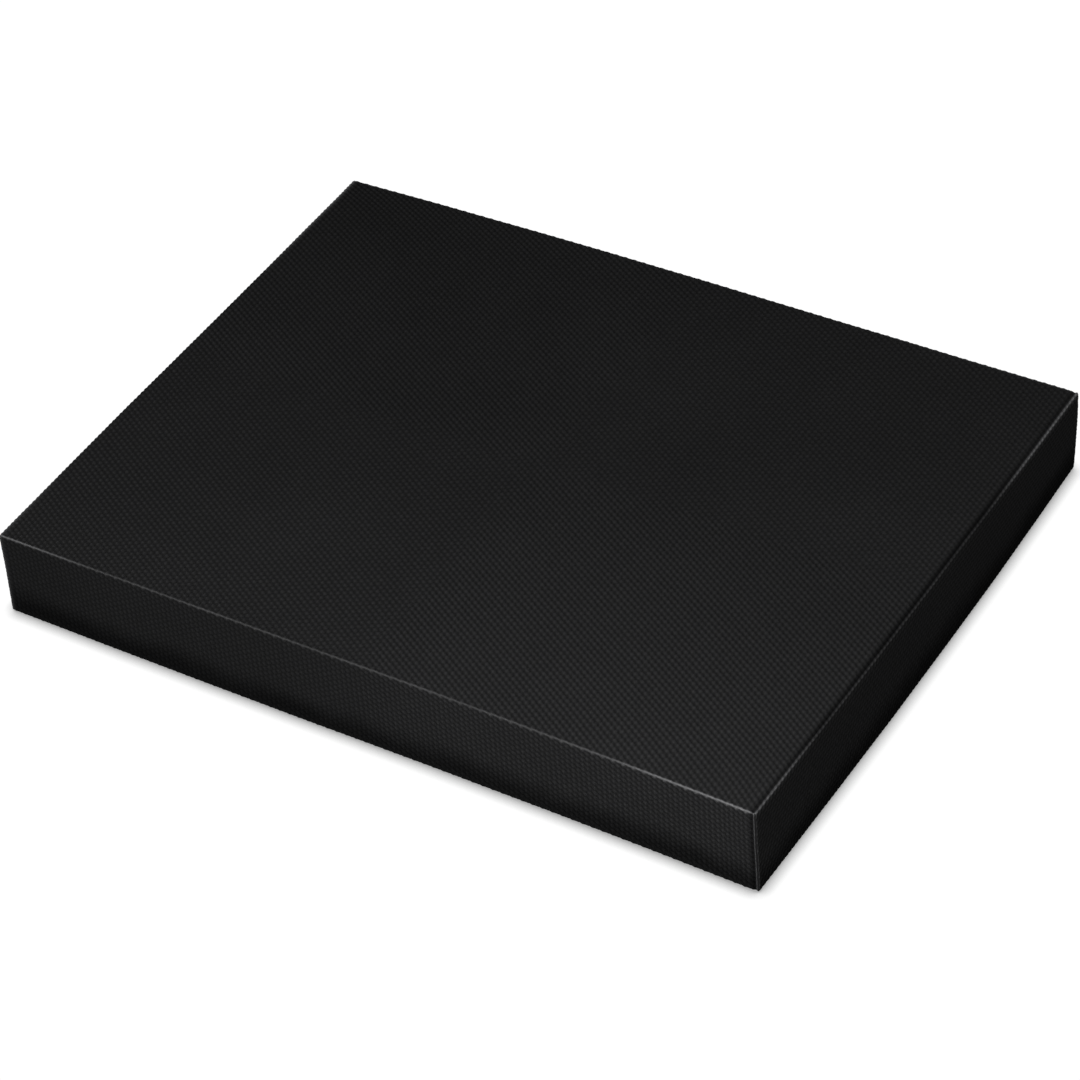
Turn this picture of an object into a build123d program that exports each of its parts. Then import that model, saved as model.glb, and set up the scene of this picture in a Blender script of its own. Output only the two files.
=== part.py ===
"""Balance pad: a laminated foam block, wrapped in one embossed sheet folded down over its
edges and closed underneath by a flat panel.

Millimetres, +Z up. The origin is on the floor, under the middle of the pad.
X runs along the pad's length, Y along its width, and the front is -Y.
"""

from build123d import *
import os

os.makedirs("parts", exist_ok=True)

# --- driving dimensions -------------------------------------------------------------------
pad_length = 500.0
pad_width = 390.0
pad_height = 60.0

sheet_thickness = 2.0  # embossed cover sheet and base panel, pips included
film_thickness = 0.5  # hot-melt film between any two bonded layers
slab_count = 3

fold_radius = 3.0  # outside of every fold and upright corner
hem_width = 25.0  # how far each flap turns in under the pad
mitre_gap = 0.6  # slit between two neighbouring hems
weld_leg = 4.0  # how far a corner weld reaches along each of its two flaps
panel_gap = 0.5  # butt joint between the hems and the base panel

# --- worked out from them -----------------------------------------------------------------
inner_radius = fold_radius - sheet_thickness
cavity_length = pad_length - 2 * sheet_thickness
cavity_width = pad_width - 2 * sheet_thickness
cavity_bottom = sheet_thickness
cavity_top = pad_height - sheet_thickness

core_length = cavity_length - 2 * film_thickness
core_width = cavity_width - 2 * film_thickness
core_bottom = cavity_bottom + film_thickness
core_top = cavity_top - film_thickness
core_radius = inner_radius - film_thickness
slab_pitch = (core_top - core_bottom + film_thickness) / slab_count
slab_thickness = slab_pitch - film_thickness

window_length = pad_length - 2 * hem_width
window_width = pad_width - 2 * hem_width
window_radius = 2.0


def finish_piece(piece, name):
    """Labels a finished piece and writes it under the same name."""
    piece.label = name
    export_step(piece, f"parts/{name}.step")
    print(f"{name:18s} {piece.volume / 1000:10.2f} cm3")


# --- the wrap: the skin before its flaps are parted ---------------------------------------
# The hollow that the core and its films fill.
with BuildPart() as cavity:
    with BuildSketch(Plane.XY.offset(cavity_bottom)):
        Rectangle(cavity_length, cavity_width)
    extrude(amount=cavity_top - cavity_bottom)
    fillet(cavity.edges(), radius=inner_radius)

with BuildPart() as skin:
    with BuildSketch(Plane.XY):
        Rectangle(pad_length, pad_width)
    extrude(amount=pad_height)
    fillet(skin.edges(), radius=fold_radius)
    add(cavity.part, mode=Mode.SUBTRACT)
    # The window that the four hems leave open underneath.
    with BuildSketch(Plane.XY):
        RectangleRounded(window_length, window_width, window_radius)
    extrude(amount=sheet_thickness, mode=Mode.SUBTRACT)

# --- cover sheet: one blank, a top panel with four flaps and their hems -------------------
# A post over each upright corner is cut out of the cover and kept of the welds. The posts
# stop under the top corners, where the blank is whole.
post_height = pad_height - fold_radius
mitre_length = (hem_width + weld_leg) * 2**0.5

with BuildSketch(Plane.XY) as posts:
    with GridLocations(pad_length - weld_leg, pad_width - weld_leg, 2, 2):
        Rectangle(weld_leg, weld_leg)

with BuildPart() as cover_sheet:
    add(skin.part)
    extrude(posts.sketch, amount=post_height, mode=Mode.SUBTRACT)
    # The hems part along a mitre from each window corner out to the upright corner.
    with BuildSketch(Plane.XY):
        for side_x in (-1, 1):
            for side_y in (-1, 1):
                middle = (
                    side_x * (pad_length - hem_width) / 2,
                    side_y * (pad_width - hem_width) / 2,
                )
                with Locations(middle):
                    Rectangle(mitre_length, mitre_gap, rotation=45 * side_x * side_y)
    extrude(amount=sheet_thickness, mode=Mode.SUBTRACT)
finish_piece(cover_sheet.part, "cover_sheet")

# --- corner welds: smooth beads that close the flaps to each other ------------------------
with BuildPart() as corner_welds:
    add(skin.part)
    extrude(posts.sketch, amount=post_height, mode=Mode.INTERSECT)
finish_piece(corner_welds.part, "corner_welds")

# --- base panel: closes the window, flush with the hems -----------------------------------
with BuildPart() as base_panel:
    with BuildSketch(Plane.XY):
        RectangleRounded(
            window_length - 2 * panel_gap,
            window_width - 2 * panel_gap,
            window_radius - panel_gap,
        )
    extrude(amount=sheet_thickness)
finish_piece(base_panel.part, "base_panel")

# --- core: foam slabs with a film between each pair, counted from the bottom --------------
slab_names = ("core_slab_bottom", "core_slab_middle", "core_slab_top")
film_names = ("bond_film_lower", "bond_film_upper")

for index, name in enumerate(slab_names):
    slab_bottom = core_bottom + index * slab_pitch
    with BuildPart() as slab:
        with BuildSketch(Plane.XY.offset(slab_bottom)):
            Rectangle(core_length, core_width)
        extrude(amount=slab_thickness)
        rounded = slab.edges().filter_by(Axis.Z)
        if name == slab_names[-1]:
            # The top slab's rim is eased too, because the cover film bends over it.
            rounded += slab.faces().sort_by(Axis.Z)[-1].edges()
        fillet(rounded, radius=core_radius)
    finish_piece(slab.part, name)

for index, name in enumerate(film_names):
    film_bottom = core_bottom + (index + 1) * slab_pitch - film_thickness
    with BuildPart() as film:
        with BuildSketch(Plane.XY.offset(film_bottom)):
            RectangleRounded(core_length, core_width, core_radius)
        extrude(amount=film_thickness)
    finish_piece(film.part, name)

# --- cover bond film: over the top and down the four sides of the core --------------------
# It stops where the cover starts to turn in underneath.
film_rim = cavity_bottom + inner_radius


def film_block(length, width, top, radius):
    """A block from the film's rim up to top, rounded at its upright corners and top edges."""
    with BuildPart() as block:
        with BuildSketch(Plane.XY.offset(film_rim)):
            Rectangle(length, width)
        extrude(amount=top - film_rim)
        fillet(block.edges() - block.faces().sort_by(Axis.Z)[0].edges(), radius=radius)
    return block.part


with BuildPart() as cover_bond_film:
    add(film_block(cavity_length, cavity_width, cavity_top, inner_radius))
    add(film_block(core_length, core_width, core_top, core_radius), mode=Mode.SUBTRACT)
finish_piece(cover_bond_film.part, "cover_bond_film")

# --- base bond film: under the bottom slab, over the hems and the base panel --------------
with BuildPart() as base_bond_film:
    with BuildSketch(Plane.XY.offset(cavity_bottom)):
        Rectangle(cavity_length - 2 * inner_radius, cavity_width - 2 * inner_radius)
    extrude(amount=film_thickness)
finish_piece(base_bond_film.part, "base_bond_film")
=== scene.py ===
# %% [markdown]
# # A foam balance pad
# The pad is a firm block of laminated foam, wrapped in one black embossed sheet. The sheet is cut
# as a cross, its four flaps are folded down over the edges, and a hem on each flap is turned in
# underneath. This lesson builds it the way it is wrapped: the sheet is embossed while it lies flat
# and is folded afterwards, so that the rows of pips run over the folds without a break.
#
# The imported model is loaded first. Everything below takes its place and size from it.

# %% Load the frame
import math

import bmesh
import bpy
import numpy as np
from mathutils import Matrix, Vector


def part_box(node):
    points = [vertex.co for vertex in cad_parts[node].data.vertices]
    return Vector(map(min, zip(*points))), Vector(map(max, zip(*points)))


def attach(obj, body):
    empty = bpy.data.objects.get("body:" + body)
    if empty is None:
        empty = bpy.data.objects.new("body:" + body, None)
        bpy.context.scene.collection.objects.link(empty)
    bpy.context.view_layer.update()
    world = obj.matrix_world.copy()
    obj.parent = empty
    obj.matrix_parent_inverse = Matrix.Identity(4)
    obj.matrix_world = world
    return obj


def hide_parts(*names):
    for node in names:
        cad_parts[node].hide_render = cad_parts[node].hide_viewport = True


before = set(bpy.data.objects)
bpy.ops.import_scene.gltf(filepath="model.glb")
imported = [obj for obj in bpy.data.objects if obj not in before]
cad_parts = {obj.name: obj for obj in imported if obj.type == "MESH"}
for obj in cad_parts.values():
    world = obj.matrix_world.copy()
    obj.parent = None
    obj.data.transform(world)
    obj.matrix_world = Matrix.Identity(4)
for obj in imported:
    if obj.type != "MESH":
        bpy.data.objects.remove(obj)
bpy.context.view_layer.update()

MM = 0.001
print("frame holds", sorted(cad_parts))

# %% [markdown]
# ## Sizes read from the frame
# The outer box, the sheet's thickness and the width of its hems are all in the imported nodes. The
# sheet bends tightly over the core: its inner side turns almost on the spot, so the outside of
# each fold has hardly more than the sheet's own thickness for a radius.

# %% Sizes of the wrap
half_length, half_width, pad_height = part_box("cover_sheet")[1]
panel_low, panel_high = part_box("base_panel")
sheet_thickness = panel_high.z
inner_turn = 0.2 * MM  # radius of a fold's inner side
fold_radius = sheet_thickness + inner_turn
panel_gap = 0.5 * MM  # joint between the hems and the base panel
hem_width = half_length - panel_high.x - panel_gap
print(f"pad {2 * half_length:.3f} x {2 * half_width:.3f} x {pad_height:.3f} m, "
      f"sheet {sheet_thickness / MM:.1f} mm, fold {fold_radius / MM:.1f} mm, "
      f"hem {hem_width / MM:.1f} mm")

# %% [markdown]
# ## The camera
# A long lens from the front right, about forty degrees up, with the camera turned a little about
# its own axis. It is placed by its direction and distance from the point it looks at, which is
# easier to reason about than three coordinates.

# %% Set up the camera
view_azimuth = math.radians(33.93)
view_elevation = math.radians(40.52)
view_roll = math.radians(-4.95)
view_distance = 2.39
lens_length = 138.29  # in millimetres, as Blender wants it
view_target = Vector((0.0148, -0.0301, pad_height / 2))

towards_camera = Vector((
    math.sin(view_azimuth) * math.cos(view_elevation),
    -math.cos(view_azimuth) * math.cos(view_elevation),
    math.sin(view_elevation),
))
camera_data = bpy.data.cameras.new("studio_camera")
camera_data.lens = lens_length
camera = bpy.data.objects.new("studio_camera", camera_data)
bpy.context.scene.collection.objects.link(camera)
level = (-towards_camera).to_track_quat("-Z", "Y").to_matrix().to_4x4()
camera.matrix_world = (
    Matrix.Translation(view_target + towards_camera * view_distance)
    @ level
    @ Matrix.Rotation(view_roll, 4, "Z")
)
bpy.context.scene.camera = camera

# %% [markdown]
# ## The embossing
# Rollers press the sheet into rows of rounded pips. Each pip has six neighbours, and the rows run
# across the pad's width. Three cosine waves, a third of a turn apart, add up to such a pattern of
# round tops and narrow channels. Their weights differ: the rollers are taken to leave one of the
# two slanting sets of channels shallower than the other and than the channels between two rows.

# %% Height of the embossing at any point of the flat sheet
flat_x = half_length - fold_radius
flat_y = half_width - fold_radius
quarter_arc = fold_radius * math.pi / 2
# The crest of an end fold lies a whole number of rows from the middle. They are 3.2 mm apart.
rows_to_crest = 78
row_pitch = (flat_x + quarter_arc / 2) / rows_to_crest
pip_pitch = row_pitch * 2 / math.sqrt(3)  # from pip to pip along a row
pip_height = 0.95 * MM
row_weight = 1.15
slant_weights = (1.15, 0.6)
pip_roundness = 0.62


def emboss_share(u, v):
    """0 in the deepest channel and 1 on a pip's tip, at distances u and v from the sheet's middle."""
    between_rows = np.cos(2 * np.pi * u / row_pitch)
    slant_a = np.cos(np.pi * u / row_pitch + 2 * np.pi * v / pip_pitch)
    slant_b = np.cos(np.pi * u / row_pitch - 2 * np.pi * v / pip_pitch)
    wave = row_weight * between_rows + slant_weights[0] * slant_a + slant_weights[1] * slant_b
    highest = row_weight + sum(slant_weights)
    lowest = -row_weight
    return np.clip((wave - lowest) / (highest - lowest), 0, 1) ** pip_roundness


# %% [markdown]
# ## Folding the flat sheet
# A point of the flat sheet is moved by how far past the flat top it lies: first round the top
# fold, then down the wall, round the bottom fold and in under the pad. Its last coordinate is its
# height above or below the sheet's outer face, and it is measured along the face's normal.

# %% Fold a point of the flat sheet
wall_drop = pad_height - 2 * fold_radius
wall_end = quarter_arc + wall_drop
hem_start = wall_end + quarter_arc
hem_flat = hem_width - fold_radius
flap_length = hem_start + hem_flat
tuck = fold_radius * math.pi / 6  # how far a flap reaches round its upright corner


def fold_profile(past, lift):
    """Outward and upward place of a point that lies past the fold's start, and lifted off the face."""
    top_turn = np.clip(past / fold_radius, 0, np.pi / 2)
    down = np.clip(past - quarter_arc, 0, wall_drop)
    base_turn = np.clip((past - wall_end) / fold_radius, 0, np.pi / 2)
    inward = np.maximum(past - hem_start, 0)
    turn = top_turn + base_turn
    out = (fold_radius + lift) * np.sin(turn) - inward
    up = pad_height - fold_radius + (fold_radius + lift) * np.cos(turn) - down
    return out, up


def fold_sheet(flat):
    """Folds points (n, 3) of the flat sheet into their places round the pad."""
    u, v, lift = flat.T
    past_x = np.maximum(np.abs(u) - flat_x, 0)
    past_y = np.maximum(np.abs(v) - flat_y, 0)
    on_y_flap = past_y >= past_x
    past = np.where(on_y_flap, past_y, past_x)
    beside = np.where(on_y_flap, past_x, past_y)
    out, up = fold_profile(past, lift)
    # Where a flap reaches round its upright corner, it turns about the corner's axis.
    turn = beside * np.maximum(1 / fold_radius, (np.pi / 4) / np.maximum(past, 1e-9))
    along, across = out * np.sin(turn), out * np.cos(turn)
    x_out = np.where(on_y_flap, along, across)
    y_out = np.where(on_y_flap, across, along)
    x = np.where(past_x > 0, np.sign(u) * (flat_x + x_out), u)
    y = np.where(past_y > 0, np.sign(v) * (flat_y + y_out), v)
    return np.column_stack([x, y, up])


# %% [markdown]
# ## The pad's own form
# Foam is never quite a box. The welds draw some corners in and leave others bulging, the top falls
# away slightly towards its corners, and the faces carry faint, wide hollows from the press. Every
# layer that bends with the pad is passed through the same function, so that the layers stay nested
# in each other, to within a few tenths of a millimetre where one has much longer faces than the
# next. No corner moves more than four millimetres along X or along Y, and where the sides bulge,
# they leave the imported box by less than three.

# %% Give points the pad's form
# How far each corner is drawn in along X and along Y: left and right, each front and back. Where
# it's negative, the corner bulges. The last table adds to the first at the foot of the wall.
pull_along_x = np.array([[0.6, -2.6], [2.3, 1.2]]) * MM
pull_along_y = np.array([[2.0, 3.4], [-3.0, -1.9]]) * MM
foot_pull_x = np.array([[-0.9, 0.0], [-0.4, 2.0]]) * MM
corner_drop = 1.3 * MM
hollow_depth = 0.22 * MM
# The waves of the hollows: radians per metre along X and along Y, and a phase.
hollow_waves = ((31.0, 17.0, 0.4), (-23.0, 41.0, 1.9), (57.0, -29.0, 3.1), (11.0, 63.0, 5.2))
# On the walls the hollows are narrower than on the top, along the wall and upwards.
narrower_along, narrower_up = 1.7, 3


def faint_hollows(x, y):
    """Wide, shallow unevenness between 0 and 1, from a few waves that never line up."""
    waves = sum(np.sin(x * per_x + y * per_y + phase) for per_x, per_y, phase in hollow_waves)
    return 0.5 + waves / (2 * len(hollow_waves))


def form_pad(points):
    """Moves points (n, 3) from the plain box to the pad's real, slightly soft form."""
    x, y, z = points.T
    share_x, share_y, share_z = x / half_length, y / half_width, z / pad_height
    near_x = np.clip((np.abs(x) - half_length + hem_width) / hem_width, 0, 1)
    near_y = np.clip((np.abs(y) - half_width + hem_width) / hem_width, 0, 1)
    right, back = (x > 0).astype(int), (y > 0).astype(int)
    foot = np.clip(1 - share_z, 0, 1) ** 2
    corner_x = pull_along_x[right, back] + foot_pull_x[right, back] * foot
    pull_x = corner_x * share_y**2 * near_x
    pull_y = pull_along_y[right, back] * share_x**2 * near_y
    wall_hollow_x = hollow_depth * faint_hollows(y * narrower_along, z * narrower_up) * near_x
    wall_hollow_y = hollow_depth * faint_hollows(x * narrower_along, z * narrower_up) * near_y
    drop = corner_drop * (share_x * share_y) ** 2 + hollow_depth * faint_hollows(x, y)
    return np.column_stack([
        x - np.sign(x) * (pull_x + wall_hollow_x),
        y - np.sign(y) * (pull_y + wall_hollow_y),
        z - drop * np.clip(share_z, 0, 1) ** 2,
    ])


# %% [markdown]
# ## Cutting the blank
# One quarter of the cross is cut from a fine grid and mirrored twice. The grid's cells are a third
# of a row wide and a quarter of a pip long, so that every tip and every channel has its own
# vertices. The notch leaves each flap reaching a little way round its upright corner. That reach
# narrows round the bottom fold, and the hem is cut back along a mitre.

# %% Helpers for cutting a sheet
def faces_where(bm, chosen):
    """The faces whose middle passes a test of x and y."""
    middles = [(face, face.calc_center_median()) for face in bm.faces]
    return [face for face, middle in middles if chosen(middle.x, middle.y)]


def score(bm, place, across, faces):
    """Splits faces along the plane through a place, and gives all their parts back."""
    edges = list({edge for face in faces for edge in face.edges})
    verts = list({vert for face in faces for vert in face.verts})
    cut = bmesh.ops.bisect_plane(
        bm, geom=verts + edges + faces, dist=1e-7, plane_co=place, plane_no=across
    )
    return [part for part in cut["geom"] if isinstance(part, bmesh.types.BMFace)]


def sheet_grid(length, width, cells_per_row, cells_per_pip):
    """A quarter of a sheet, from its middle outwards, in cells that keep step with the pips."""
    cell_x, cell_y = row_pitch / cells_per_row, pip_pitch / cells_per_pip
    count_x, count_y = math.ceil(length / cell_x), math.ceil(width / cell_y)
    bm = bmesh.new()
    bmesh.ops.create_grid(bm, x_segments=count_x, y_segments=count_y, size=1)
    bmesh.ops.translate(bm, verts=bm.verts[:], vec=(1, 1, 0))
    size = (count_x * cell_x / 2, count_y * cell_y / 2, 1)
    bmesh.ops.scale(bm, verts=bm.verts[:], vec=size)
    # The last cells stick out past the sheet's two outer edges, and are trimmed.
    score(bm, (length, 0, 0), (1, 0, 0), faces_where(bm, lambda x, y: x > length - cell_x))
    score(bm, (0, width, 0), (0, 1, 0), faces_where(bm, lambda x, y: y > width - cell_y))
    spare = faces_where(bm, lambda x, y: x > length or y > width)
    bmesh.ops.delete(bm, geom=spare, context="FACES")
    return bm


def mirror_both_ways(bm):
    """Makes a quarter into the whole, over both middle lines."""
    for axis in "XY":
        everything = bm.verts[:] + bm.edges[:] + bm.faces[:]
        bmesh.ops.mirror(bm, geom=everything, merge_dist=1e-6, axis=axis)


def close_back(bm, depth, scores_x, scores_y):
    """Gives a flat face a rim and a plain back, depth below it, scored where it bends."""
    rim = [edge for edge in bm.edges if edge.is_boundary]
    grown = bmesh.ops.extrude_edge_only(bm, edges=rim)["geom"]
    lowered = [part for part in grown if isinstance(part, bmesh.types.BMVert)]
    bmesh.ops.translate(bm, verts=lowered, vec=(0, 0, -depth))
    open_rim = [edge for edge in bm.edges if edge.is_boundary]
    back = bmesh.ops.edgeloop_fill(bm, edges=open_rim)["faces"]
    for place in scores_x:
        back = score(bm, (place, 0, 0), (1, 0, 0), back)
    for place in scores_y:
        back = score(bm, (0, place, 0), (0, 1, 0), back)
    bmesh.ops.recalc_face_normals(bm, faces=bm.faces[:])


# %% Cut the cross-shaped blank
mitre_gap = 0.3 * MM
beside_cut = 1.1 * MM  # a little more than one cell of the grid
blank = sheet_grid(flat_x + flap_length, flat_y + flap_length, 3, 4)


def flap_reach(past):
    """How far a flap reaches sideways past the flat top, at a distance past the fold's start."""
    if past <= wall_end:
        return tuck
    if past <= hem_start:
        return tuck * (hem_start - past) / quarter_arc
    return hem_start - past - mitre_gap / 2


# Each cut has its first and last distance past the fold, a point of its line, and its direction
# across, for a flap along Y. Swapping X and Y gives the flap along X.
flap_cuts = (
    (tuck, wall_end, (tuck, 0), (1, 0)),
    (wall_end, hem_start, (tuck, wall_end), (quarter_arc, tuck)),
    (hem_start, flap_length, (-mitre_gap / 2, hem_start), (1, 1)),
)
for first, last, place, across in flap_cuts:
    along_y = Vector((flat_x + place[0], flat_y + place[1], 0)), Vector((*across, 0))
    along_x = Vector((flat_x + place[1], flat_y + place[0], 0)), Vector((across[1], across[0], 0))
    low, high = first - beside_cut, last + beside_cut
    score(blank, *along_y, faces_where(blank, lambda x, y: low < y - flat_y < high))
    score(blank, *along_x, faces_where(blank, lambda x, y: low < x - flat_x < high))

outside = faces_where(
    blank,
    lambda x, y: x - flat_x > flap_reach(y - flat_y) and y - flat_y > flap_reach(x - flat_x),
)
bmesh.ops.delete(blank, geom=outside, context="FACES")
mirror_both_ways(blank)
blank_area = sum(face.calc_area() for face in blank.faces)
print(f"blank {len(blank.faces)} cells, {blank_area:.4f} m2")

# %% Close the blank's back, scored along its folds
# Four cells round each fold, and cells of about 25 mm on the flat top.
arc_steps = [quarter_arc * step / 4 for step in range(5)]
fold_lines = arc_steps + [wall_end + step for step in arc_steps]


def both_sides(places):
    """The same places on both sides of the middle."""
    return sorted({side * place for place in places for side in (-1, 1)})


top_x = [flat_x * step / 10 for step in range(10)]
top_y = [flat_y * step / 8 for step in range(8)]
back_x = both_sides(top_x + [flat_x + place for place in fold_lines])
back_y = both_sides(top_y + [flat_y + place for place in fold_lines])
close_back(blank, sheet_thickness, back_x, back_y)
print("closed blank", len(blank.faces), "faces, open edges",
      sum(edge.is_boundary for edge in blank.edges))

# %% [markdown]
# ## From the flat blank to the cover
# The blank's vertices are now pressed into pips and folded, in two sweeps of arithmetic over all
# of them. No two pips come out of the rollers quite alike, so each gets its own height
# from a seeded table. The share of its height that each vertex has is kept as an attribute named
# pip, which the material reads to make the tips a little smoother and paler than the channels. The
# darker channels are partly dust and partly painted shade.

# %% Emboss a flat sheet and make it a mesh
pip_unevenness = 0.14  # how much of its height the lowest pip has lost
crest_flattening = 0.6  # how far a crease fills the channels beside its pips
groove_share = 0.8  # depth of the groove, in pip heights

table_size = 401
rng = np.random.default_rng(3)
pip_table = rng.random((table_size, table_size))


def pip_variation(u, v):
    """A number from 0 to 1 for the pip that each point belongs to."""
    row = np.rint(u / row_pitch).astype(int)
    place = np.rint(v / pip_pitch - 0.5 * (row % 2)).astype(int)
    return pip_table[row % table_size, place % table_size]


def emboss(points, crests=0.0, groove=0.0):
    """Presses the face of flat points (n, 3) into pips, and gives them and their pip shares.

    Where crests is near 1 the pips are flattened, and where groove is, the sheet is pressed deeper.
    """
    u, v, lift = points.T
    on_face = lift > -sheet_thickness / 2
    share = emboss_share(u, v) * (1 - pip_unevenness * pip_variation(u, v))
    share = share + (1 - share) * crest_flattening * crests - groove_share * groove
    pressed = np.where(on_face, -pip_height * (1 - share), lift)
    return np.column_stack([u, v, pressed]), np.where(on_face, np.clip(share, 0, 1), 0.5)


def get_points(mesh):
    """A mesh's vertices as an array (n, 3)."""
    points = np.empty(len(mesh.vertices) * 3)
    mesh.vertices.foreach_get("co", points)
    return points.reshape(-1, 3)


def set_points(mesh, points):
    mesh.vertices.foreach_set("co", points.ravel())
    mesh.update()


def add_piece(name, bm, crisp=80):
    """Makes a piece of a bmesh, smooth but for edges sharper than crisp degrees."""
    mesh = bpy.data.meshes.new(name)
    bm.to_mesh(mesh)
    bm.free()
    mesh.shade_smooth()
    mesh.set_sharp_from_angle(angle=math.radians(crisp))
    piece = bpy.data.objects.new(name, mesh)
    bpy.context.scene.collection.objects.link(piece)
    return piece


def store(mesh, name, values):
    """Keeps a number for each vertex, for a material to read."""
    mesh.attributes.new(name, "FLOAT", "POINT").data.foreach_set("value", values)


def report(piece):
    """Prints a piece's box and its triangle count."""
    points = get_points(piece.data)
    low, high = points.min(axis=0) / MM, points.max(axis=0) / MM
    triangles = sum(len(face.vertices) - 2 for face in piece.data.polygons)
    print(f"{piece.name}: {low.round(1)} to {high.round(1)} mm, {triangles} triangles")


# %% [markdown]
# ## Creases and painted highlights
# Bending stretches the sheet over each fold. Along the two long folds that flattens the pips into
# one narrow ridge. The rows run along the two short folds. On the right a whole row stands up as a
# knobbly band with a deep groove beside it, and on the left it is pressed flat. The pips are also
# flattened round the bottom folds and beside the welds. A pale highlight is painted along the crests
# of the top folds, most of all near the corners. The painted highlight and the groove are kept as
# attributes too.

# %% Helpers for the creases
crest = quarter_arc / 2  # from the start of a fold to its crest
# A pale highlight is painted along each crest: faint, in patches, all along it, and strong at its
# ends.
faint_highlight = 0.08  # in patches, all along a crest
strong_highlight = 0.5  # at its ends
highlight_fade = 0.3  # share of a crest's half length over which the strong highlight comes in


def near(distance, width):
    """1 on a line, fading away on both sides of it."""
    return np.exp(-((distance / width) ** 2))


def highlight_along(share, phase, starts):
    """Painted highlight on a crest at a share of its length, -1 to 1; more from starts to its ends."""
    patches = 0.5 + 0.5 * np.sin(share * 23 + phase) * np.sin(share * 9.7 + 2 * phase)
    start = np.where(share < 0, starts[0], starts[1])
    towards_end = np.clip((np.abs(share) - start) / highlight_fade, 0, 1)
    return faint_highlight * patches + strong_highlight * towards_end**2 * (3 - 2 * towards_end)


# %% Crease the flat sheet
# A ridge lies a little nearer to the top than its fold's crest, and the groove most of a row.
ridge_place = crest * 0.7
ridge_width = 0.9 * MM
band_width = 1.6 * MM
groove_before_crest = row_pitch * 0.8
groove_width = 1.0 * MM
foot_width = 2.6 * MM
flap_end_width = 0.8 * MM

cover = add_piece("cover", blank)
flat_points = get_points(cover.data)
u, v, lift = flat_points.T
past_x, past_y = np.abs(u) - flat_x, np.abs(v) - flat_y
long_crest = near(past_y - ridge_place, ridge_width)
left_crest = 0.8 * near(past_x - crest, band_width) * (u < 0)
foot_crest = near(np.maximum(past_x, past_y) - wall_end - crest, foot_width)
flap_end = 0.9 * near(np.minimum(past_x, past_y) - tuck, flap_end_width)
short_groove = near(past_x - crest + groove_before_crest, groove_width) * (u > 0)
crests = np.max([long_crest, left_crest, foot_crest, flap_end], axis=0)

# %% Press, fold and form the cover
pressed_points, pip_share = emboss(flat_points, crests, short_groove)
set_points(cover.data, form_pad(fold_sheet(pressed_points)))

# %% Paint a highlight on the crests
# The crests of the top folds get a painted highlight, beady on the tips of the pips and stronger
# towards the back along the short folds.
pale_line_width = 0.6 * MM
along_x, along_y = u / half_length, v / half_width
long_crest_highlight = near(past_y - ridge_place, pale_line_width) * highlight_along(along_x, 1.3, (0.7, 0.55))
short_crest_highlight = near(past_x - crest, band_width) * highlight_along(along_y, 0.4, (0.6, 0.4))
more_at_back = 0.7 + 0.9 * np.clip(along_y, 0, 1)
more_on_tips = 0.4 + 0.6 * pip_share
crest_highlight = (long_crest_highlight + short_crest_highlight * more_at_back) * more_on_tips
store(cover.data, "pip", pip_share)
store(cover.data, "crest_highlight", np.where(lift > -sheet_thickness / 2, crest_highlight, 0))
store(cover.data, "groove", short_groove)
cover.data.set_sharp_from_angle(angle=math.radians(80))
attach(cover, "root")
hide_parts("cover_sheet")
report(cover)

# %% [markdown]
# ## The base panel
# A flat panel of the same sheet closes the window that the four hems leave underneath. Its pips
# face the floor. It is a rectangle with nothing to fold and it lies flat, so a coarser grid does
# for it, and a few lines across its back.

# %% Make the base panel
panel_bm = sheet_grid(panel_high.x, panel_high.y, 3, 2)
mirror_both_ways(panel_bm)
close_back(panel_bm, sheet_thickness, both_sides([0.1, 0.2]), both_sides([0.05, 0.1]))
base_panel = add_piece("base_panel_embossed", panel_bm)
pressed_points, pip_share = emboss(get_points(base_panel.data))
set_points(base_panel.data, pressed_points * (1, 1, -1))
base_panel.data.flip_normals()
store(base_panel.data, "pip", pip_share)
base_panel.data.set_sharp_from_angle(angle=math.radians(80))
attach(base_panel, "root")
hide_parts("base_panel")
report(base_panel)

# %% [markdown]
# ## The corner welds
# A hot tool draws a smooth bead of melted sheet down each upright corner and closes the two flaps
# to each other. A bead is one narrow outline spun through the gap between the flaps and about a
# degree into the end of each. It is a hair below the tips of the pips, and it swells and thins a
# little on the way down.

# %% Spin the corner welds
bead_radius = fold_radius - 0.15 * MM
bead_depth = 1.6 * MM
bead_foot = 0.7 * MM
bead_turn = math.radians(32)
bead_swell = 0.1 * MM
bead_rings = 60
back_inset = 1 * MM  # how much shorter the bead's back is, at its head and at its foot
head_arc, foot_arc = 52, 70  # degrees


def bead_outline():
    """Radius and height along a bead's outer face, from its rounded foot to its domed head."""
    head = np.radians(np.linspace(0, head_arc, 9))
    foot = np.radians(np.linspace(foot_arc, 0, 7))
    low, high = bead_foot + bead_radius / 2, pad_height - fold_radius
    outline = [(bead_radius * math.cos(a), low - bead_radius / 2 * math.sin(a)) for a in foot]
    for height in np.linspace(low, high, bead_rings)[1:-1]:
        swell = math.sin(height * 610) * math.sin(height * 1490 + 1)
        outline.append((bead_radius + bead_swell * swell, height))
    return outline + [(bead_radius * math.cos(a), high + bead_radius * math.sin(a)) for a in head]


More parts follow.
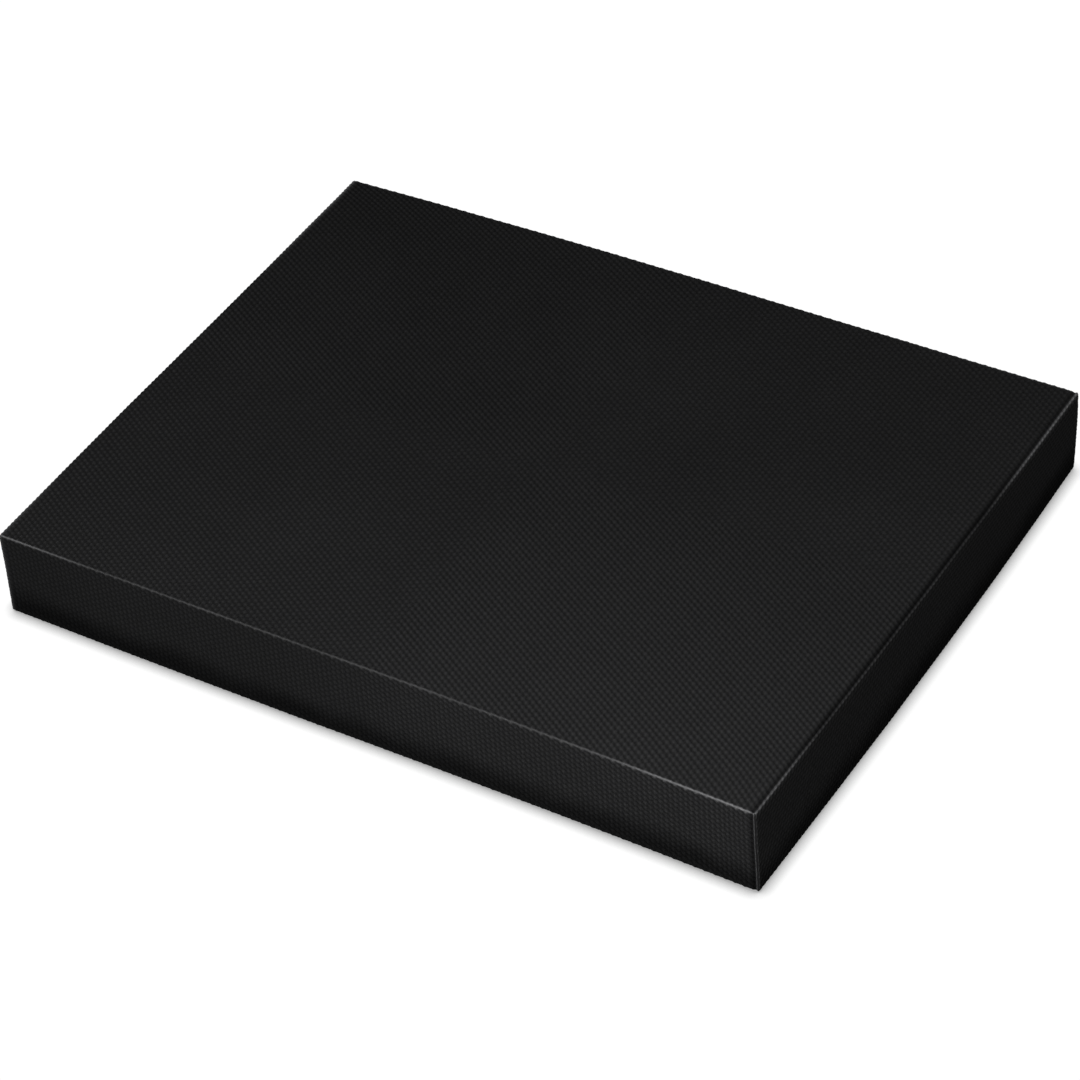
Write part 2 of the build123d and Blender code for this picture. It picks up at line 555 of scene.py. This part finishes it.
welds_bm = bmesh.new()
outline = bead_outline()
back_edge = [(bead_radius - bead_depth, outline[-1][1] - back_inset),
             (bead_radius - bead_depth, outline[0][1] + back_inset)]
loop = [welds_bm.verts.new((radius, 0, height)) for radius, height in outline + back_edge]
edges = [welds_bm.edges.new((loop[i - 1], loop[i])) for i in range(len(loop))]
first_angle = math.pi / 4 - bead_turn / 2
bmesh.ops.rotate(welds_bm, verts=loop, matrix=Matrix.Rotation(first_angle, 3, "Z"))
bmesh.ops.spin(
    welds_bm, geom=loop + edges, cent=(0, 0, 0), axis=(0, 0, 1), angle=bead_turn, steps=6
)
ends = [edge for edge in welds_bm.edges if edge.is_boundary]
bmesh.ops.edgeloop_fill(welds_bm, edges=ends)
bmesh.ops.translate(welds_bm, verts=welds_bm.verts[:], vec=(flat_x, flat_y, 0))
mirror_both_ways(welds_bm)
bmesh.ops.recalc_face_normals(welds_bm, faces=welds_bm.faces[:])
corner_beads = add_piece("corner_beads", welds_bm, crisp=50)
set_points(corner_beads.data, form_pad(get_points(corner_beads.data)))
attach(corner_beads, "root")
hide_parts("corner_welds")
report(corner_beads)

# %% [markdown]
# ## The core
# Three foam slabs are laminated with hot-melt film between them. They are sawn from a block, so
# their faces are flat and their edges crisp. Each is a box divided into cells of about a
# centimetre, finely enough to take the pad's form, with its edges eased.

# %% Helpers for a divided block
cells_along, cells_across = 50, 39


def divided_block(low, high, cells):
    """A box between two corners, with its three directions divided into cells."""
    bm = bmesh.new()
    bmesh.ops.create_cube(bm, size=1)
    for axis, count in enumerate(cells):
        along = [
            edge for edge in bm.edges
            if abs((edge.verts[0].co - edge.verts[1].co)[axis]) > 0.5
        ]
        if count > 1:
            bmesh.ops.subdivide_edges(bm, edges=along, cuts=count - 1, use_grid_fill=True)
    bmesh.ops.scale(bm, verts=bm.verts[:], vec=high - low)
    bmesh.ops.translate(bm, verts=bm.verts[:], vec=(low + high) / 2)
    return bm


def ease_edges(bm, width):
    """Rounds every edge where two flat sides meet."""
    sharp = [edge for edge in bm.edges if edge.calc_face_angle(0) > 1]
    bmesh.ops.bevel(
        bm, geom=sharp, offset=width, segments=2, profile=0.5, affect="EDGES", material=-1
    )


# %% Cut the foam slabs
slabs = []
eased_width = 0.4 * MM
for place in ("bottom", "middle", "top"):
    node = f"core_slab_{place}"
    slab_bm = divided_block(*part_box(node), (cells_along, cells_across, 3))
    ease_edges(slab_bm, eased_width)
    slab = add_piece(f"foam_{place}", slab_bm, crisp=60)
    set_points(slab.data, form_pad(get_points(slab.data)))
    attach(slab, "root")
    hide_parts(node)
    slabs.append(slab)
    report(slab)

# %% [markdown]
# ## The bonding films
# The adhesive comes as a film half a millimetre thick, and melts when the stack is pressed. One
# film lies in each joint of the core, one under it, and one goes over the top and down the sides.
# The flat ones are thin divided blocks. The one over the top is an open box with its wall turned
# inwards, which is how it is laid on.

# %% Lay the films
films = []


def finish_film(name, bm, node):
    """Gives a film its form and its place in the frame, and prints its box and triangles."""
    film = add_piece(name, bm, crisp=40)
    set_points(film.data, form_pad(get_points(film.data)))
    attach(film, "root")
    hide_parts(node)
    films.append(film)
    report(film)


for name, node, under in (
    ("joint_film_lower", "bond_film_lower", "foam_bottom"),
    ("joint_film_upper", "bond_film_upper", "foam_middle"),
    ("base_film", "base_bond_film", "foam_bottom"),
):
    low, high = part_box(node)
    film_bm = divided_block(low, high, (cells_along, cells_across, 1))
    finish_film(name, film_bm, node)

# %% Fold the cover film over the core
low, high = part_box("cover_bond_film")
film_thickness = 0.5 * MM
shell_bm = divided_block(low, high, (cells_along, cells_across, 6))
open_side = [face for face in shell_bm.faces if face.calc_center_median().z < low.z + 1e-5]
bmesh.ops.delete(shell_bm, geom=open_side, context="FACES")
bmesh.ops.recalc_face_normals(shell_bm, faces=shell_bm.faces[:])
bmesh.ops.solidify(shell_bm, geom=shell_bm.faces[:], thickness=film_thickness)
bmesh.ops.recalc_face_normals(shell_bm, faces=shell_bm.faces[:])
finish_film(
    "wrap_film", shell_bm, "cover_bond_film"
)

# %% [markdown]
# ## Finishes
# Four finishes are enough: the black embossed sheet, the smoother weld, the foam inside, and the
# milky film. Two effects are shared by several of them, so each is built once as a node group: a
# mottle that varies a colour, a roughness or a height over the surface, and a fine grain for the
# normals.

# %% Node helpers
def new_group(name, inputs, outputs):
    """A shader node group with named sockets, its input values and its output node."""
    group = bpy.data.node_groups.new(name, "ShaderNodeTree")
    for label, kind, value in inputs:
        socket = group.interface.new_socket(label, in_out="INPUT", socket_type=kind)
        socket.default_value = value
    for label, kind in outputs:
        group.interface.new_socket(label, in_out="OUTPUT", socket_type=kind)
    return group, group.nodes.new("NodeGroupInput").outputs, group.nodes.new("NodeGroupOutput").inputs


def add_node(tree, kind, **settings):
    """A new node with some of its properties set."""
    node = tree.nodes.new(kind)
    for key, value in settings.items():
        setattr(node, key, value)
    return node


def feed(tree, socket, source):
    """Links a socket to another, or sets its value."""
    if isinstance(source, bpy.types.NodeSocket):
        tree.links.new(source, socket)
    else:
        socket.default_value = source


def math_node(tree, operation, a, b):
    node = add_node(tree, "ShaderNodeMath", operation=operation)
    feed(tree, node.inputs[0], a)
    feed(tree, node.inputs[1], b)
    return node.outputs[0]


def noise_node(tree, vector, scale, detail=3.0, roughness=0.5):
    node = add_node(tree, "ShaderNodeTexNoise")
    feed(tree, node.inputs["Vector"], vector)
    feed(tree, node.inputs["Scale"], scale)
    feed(tree, node.inputs["Detail"], detail)
    feed(tree, node.inputs["Roughness"], roughness)
    return node.outputs["Fac"]


def ramp(tree, value, low, high):
    """Maps a value between 0 and 1 onto a range."""
    node = add_node(tree, "ShaderNodeMapRange")
    feed(tree, node.inputs["Value"], value)
    feed(tree, node.inputs["To Min"], low)
    feed(tree, node.inputs["To Max"], high)
    return node.outputs["Result"]


def set_inputs(node, **values):
    """Sets inputs by their labels, with from_min for From Min."""
    for key, value in values.items():
        node.inputs[key.replace("_", " ").title()].default_value = value


def mix_colour(tree, share, first, second):
    node = add_node(tree, "ShaderNodeMix", data_type="RGBA")
    feed(tree, node.inputs[0], share)
    feed(tree, node.inputs[6], first)
    feed(tree, node.inputs[7], second)
    return node.outputs[2]


# %% Group: mottle
mottle_group, given, out = new_group(
    "mottle",
    [("Vector", "NodeSocketVector", (0, 0, 0)), ("Scale", "NodeSocketFloat", 20.0),
     ("Low", "NodeSocketFloat", 0.9), ("High", "NodeSocketFloat", 1.1)],
    [("Value", "NodeSocketFloat")],
)
wide = noise_node(mottle_group, given["Vector"], given["Scale"], detail=4.0, roughness=0.6)
# Noise keeps near the middle of its range, so it is stretched about 0.5 to fill it.
stretch = 2.4
stretched = math_node(mottle_group, "MULTIPLY", wide, stretch)
stretched = math_node(mottle_group, "SUBTRACT", stretched, (stretch - 1) / 2)
feed(mottle_group, out["Value"], ramp(mottle_group, stretched, given["Low"], given["High"]))

# %% Group: fine grain
grain_group, given, out = new_group(
    "fine_grain",
    [("Vector", "NodeSocketVector", (0, 0, 0)), ("Scale", "NodeSocketFloat", 4000.0),
     ("Depth", "NodeSocketFloat", 0.00003)],
    [("Normal", "NodeSocketVector"), ("Value", "NodeSocketFloat")],
)
specks = noise_node(grain_group, given["Vector"], given["Scale"], detail=2.0, roughness=0.6)
bump = add_node(grain_group, "ShaderNodeBump")
bump.inputs["Strength"].default_value = 1.0
feed(grain_group, bump.inputs["Distance"], given["Depth"])
feed(grain_group, bump.inputs["Height"], specks)
feed(grain_group, out["Normal"], bump.outputs["Normal"])
feed(grain_group, out["Value"], specks)


# %% Helpers for a material
def new_material(name):
    """A material, its tree, its Principled shader and the Object coordinates."""
    material = bpy.data.materials.new(name)
    material.use_nodes = True
    tree = material.node_tree
    shader = tree.nodes["Principled BSDF"]
    coordinates = add_node(tree, "ShaderNodeTexCoord").outputs["Object"]
    return material, tree, shader, coordinates


def use_group(tree, group, vector, **values):
    """Places a group in a material and sets its inputs."""
    node = add_node(tree, "ShaderNodeGroup", node_tree=group)
    feed(tree, node.inputs["Vector"], vector)
    for key, value in values.items():
        feed(tree, node.inputs[key], value)
    return node.outputs


def tint(tree, colour, amount):
    """A colour made lighter or darker by a factor."""
    node = add_node(tree, "ShaderNodeVectorMath", operation="SCALE")
    feed(tree, node.inputs[0], colour)
    feed(tree, node.inputs["Scale"], amount)
    return node.outputs[0]


# %% [markdown]
# ## The embossed sheet's finish
# The sheet is a black foam skin. Hands and feet have rubbed the tips of the pips a little smoother
# than the channels, where dust and the matt of the rollers stay. The channels are also painted
# darker, partly for that dust and partly as painted shade. The pip attribute drives the colour, the
# roughness and the shine. The attribute along the crests paints a pale highlight on them, the groove
# attribute paints shade into the groove, a ramp of height paints shade along the foot of the walls,
# and the mottle keeps wide areas from looking painted.

# %% Material: embossed sheet
sheet_material, tree, shader, at = new_material("black_embossed_skin")
pip_share = add_node(tree, "ShaderNodeAttribute", attribute_name="pip").outputs["Fac"]
wide_mottle = use_group(tree, mottle_group, at, Scale=9.0, Low=0.86, High=1.14)["Value"]
small_mottle = use_group(tree, mottle_group, at, Scale=900.0, Low=0.8, High=1.2)["Value"]
# Painted shade darkens the foot of the walls. It fades out over the lowest two centimetres or so,
# along a ragged line.
height = add_node(tree, "ShaderNodeSeparateXYZ")
feed(tree, height.inputs[0], at)
ragged = use_group(tree, mottle_group, at, Scale=22.0, Low=-0.004, High=0.004)["Value"]
foot_shade_ramp = add_node(tree, "ShaderNodeMapRange", interpolation_type="SMOOTHSTEP")
feed(tree, foot_shade_ramp.inputs["Value"], math_node(tree, "ADD", height.outputs["Z"], ragged))
set_inputs(foot_shade_ramp, from_min=0.004, from_max=0.026, to_min=0.38, to_max=1.0)
foot_shade = foot_shade_ramp.outputs["Result"]
# The channels are painted darker than the tips, partly for dust and partly as painted shade.
channel_colour = (0.0034, 0.0034, 0.0036, 1)
tip_colour = (0.0132, 0.0132, 0.0137, 1)
painted_highlight_colour = (0.2, 0.2, 0.205, 1)
skin_colour = mix_colour(tree, pip_share, channel_colour, tip_colour)
skin_colour = tint(tree, tint(tree, skin_colour, wide_mottle), small_mottle)
# Little light gets to the bottom of the groove beside the right fold.
groove = add_node(tree, "ShaderNodeAttribute", attribute_name="groove").outputs["Fac"]
# The painted shade in the groove and at the foot of the walls darkens the colour and dims the shine.
open_to_light = math_node(tree, "MULTIPLY", ramp(tree, groove, 1.0, 0.25), foot_shade)
skin_colour = tint(tree, skin_colour, open_to_light)
# A pale highlight is painted along the crests of the top folds.
crest_highlight = add_node(tree, "ShaderNodeAttribute", attribute_name="crest_highlight").outputs["Fac"]
crest_highlight = math_node(tree, "MULTIPLY", crest_highlight, small_mottle)
skin_colour = mix_colour(tree, crest_highlight, skin_colour, painted_highlight_colour)
feed(tree, shader.inputs["Base Color"], skin_colour)
skin_roughness = ramp(tree, pip_share, 0.68, 0.52)
rubbed = use_group(tree, mottle_group, at, Scale=14.0, Low=0.94, High=1.06)["Value"]
feed(tree, shader.inputs["Roughness"], math_node(tree, "MULTIPLY", skin_roughness, rubbed))
grain = use_group(tree, grain_group, at, Scale=2600.0, Depth=0.00004)["Normal"]
feed(tree, shader.inputs["Normal"], grain)
# This link shows only in renders: an exported model leaves it out and has an even shine.
skin_shine = math_node(tree, "MULTIPLY", ramp(tree, pip_share, 0.2, 0.42), open_to_light)
feed(tree, shader.inputs["Specular IOR Level"], skin_shine)

# %% [markdown]
# ## The weld, the foam and the film
# The weld was molten, so it has no pips, only a fine grain. The foam is charcoal grey with fine
# closed cells, cut open on its faces. The film is milky: paler and duller where it was chilled
# quickly, darker and glossier where it stayed hot.

# %% Material: weld bead
weld_material, tree, shader, at = new_material("melted_weld")
weld_mottle = use_group(tree, mottle_group, at, Scale=160.0, Low=0.8, High=1.25)["Value"]
feed(tree, shader.inputs["Base Color"], tint(tree, (0.010, 0.010, 0.0103), weld_mottle))
weld_roughness = use_group(tree, mottle_group, at, Scale=420.0, Low=0.55, High=0.68)["Value"]
feed(tree, shader.inputs["Roughness"], weld_roughness)
grain = use_group(tree, grain_group, at, Scale=900.0, Depth=0.00006)["Normal"]
feed(tree, shader.inputs["Normal"], grain)
shader.inputs["Specular IOR Level"].default_value = 0.3

# %% Material: core foam
foam_material, tree, shader, at = new_material("charcoal_foam")
cells = add_node(tree, "ShaderNodeTexVoronoi", feature="F1")
feed(tree, cells.inputs["Vector"], at)
cells.inputs["Scale"].default_value = 1400.0
cell_wall = ramp(tree, cells.outputs["Distance"], 0.6, 1.25)
foam_mottle = use_group(tree, mottle_group, at, Scale=30.0, Low=0.88, High=1.12)["Value"]
foam_colour = tint(tree, (0.042, 0.043, 0.046), math_node(tree, "MULTIPLY", cell_wall, foam_mottle))
feed(tree, shader.inputs["Base Color"], foam_colour)
feed(tree, shader.inputs["Roughness"], ramp(tree, cells.outputs["Distance"], 0.95, 0.75))
bump = add_node(tree, "ShaderNodeBump")
bump.inputs["Distance"].default_value = 0.0002
feed(tree, bump.inputs["Height"], cells.outputs["Distance"])
feed(tree, shader.inputs["Normal"], bump.outputs["Normal"])

# %% Material: bond film
film_material, tree, shader, at = new_material("milky_film")
chill = use_group(tree, mottle_group, at, Scale=26.0, Low=0.0, High=1.0)["Value"]
film_colour = mix_colour(tree, chill, (0.42, 0.40, 0.36, 1), (0.62, 0.61, 0.57, 1))
feed(tree, shader.inputs["Base Color"], film_colour)
feed(tree, shader.inputs["Roughness"], ramp(tree, chill, 0.28, 0.5))
grain = use_group(tree, grain_group, at, Scale=500.0, Depth=0.00008)["Normal"]
feed(tree, shader.inputs["Normal"], grain)

# %% Give every piece its finish
for piece, material in (
    [(cover, sheet_material), (base_panel, sheet_material), (corner_beads, weld_material)]
    + [(slab, foam_material) for slab in slabs]
    + [(film, film_material) for film in films]
):
    piece.data.materials.clear()
    piece.data.materials.append(material)
    print(piece.name, "wears", material.name)

# %% [markdown]
# ## The studio
# The pad stands on a floor that the camera sees as pure white, with a soft shadow only about a
# centimetre wide round the pad's foot. Lamps could cast such a shadow, but it would change whenever
# one of them was moved, so ambient occlusion draws it instead. Six soft boxes light the pad: one on
# the right, one behind, one on the left and one at the front left, and two small ones close in
# front, aimed at its front right part. What the pad reflects is dim, so that it stays black.

# %% Floor
floor_bm = bmesh.new()
bmesh.ops.create_grid(floor_bm, x_segments=1, y_segments=1, size=30)
floor = add_piece("floor", floor_bm)
floor_material = bpy.data.materials.new("white_floor")
floor_material.use_nodes = True
tree = floor_material.node_tree
tree.nodes.remove(tree.nodes["Principled BSDF"])
# What the camera sees is an even white, darkened close to the pad's foot.
contact = add_node(tree, "ShaderNodeAmbientOcclusion", samples=16)
contact.inputs["Distance"].default_value = 0.0095
shadow = add_node(tree, "ShaderNodeMapRange")
feed(tree, shadow.inputs["Value"], contact.outputs["AO"])
set_inputs(shadow, from_min=0.45, from_max=0.97, to_min=0.42, to_max=1.05)
seen_floor = add_node(tree, "ShaderNodeEmission")
feed(tree, seen_floor.inputs["Strength"], shadow.outputs["Result"])
# What the pad reflects is a much dimmer floor, so that its walls stay black.
lit_floor = add_node(tree, "ShaderNodeBsdfDiffuse")
lit_floor.inputs["Color"].default_value = (0.12, 0.12, 0.12, 1)
either = add_node(tree, "ShaderNodeMixShader")
feed(tree, either.inputs[0], add_node(tree, "ShaderNodeLightPath").outputs["Is Camera Ray"])
feed(tree, either.inputs[1], lit_floor.outputs["BSDF"])
feed(tree, either.inputs[2], seen_floor.outputs["Emission"])
feed(tree, tree.nodes["Material Output"].inputs["Surface"], either.outputs["Shader"])
floor.data.materials.append(floor_material)


# %% Lights
def soft_box(name, azimuth, elevation, distance, size, power, aim=(0, 0, 0.03)):
    """A square soft box, aimed at a point from a direction; azimuth 0 is in front of the pad."""
    turn, rise = math.radians(azimuth), math.radians(elevation)
    direction = Vector((
        math.sin(turn) * math.cos(rise),
        -math.cos(turn) * math.cos(rise),
        math.sin(rise),
    ))
    lamp = bpy.data.lights.new(name, "AREA")
    lamp.shape = "SQUARE"
    lamp.size = size
    lamp.energy = power
    light = bpy.data.objects.new(name, lamp)
    light.location = Vector(aim) + direction * distance
    light.rotation_mode = "QUATERNION"
    light.rotation_quaternion = (-direction).to_track_quat("-Z", "Y")
    bpy.context.scene.collection.objects.link(light)


soft_box("right_box", 112, 30, 2.0, 0.47, 8.5)
soft_box("back_box", 165, 50, 2.0, 0.47, 2.1)
soft_box("left_box", 270, 55, 1.5, 0.35, 1.8)
soft_box("front_left_box", 322, 35, 1.5, 0.35, 9.4)
soft_box("near_box", 13.7, 30.2, 0.536, 0.25, 1.85, aim=(0.11, -0.1, 0.03))
soft_box("near_high_box", 10, 60, 0.6, 0.25, 1.4, aim=(0.18, -0.1, 0.06))

world = bpy.data.worlds.new("studio_air")
world.use_nodes = True
set_inputs(world.node_tree.nodes["Background"], color=(1, 1, 1, 1), strength=0.01)
bpy.context.scene.world = world
bpy.context.scene.view_settings.view_transform = "Standard"
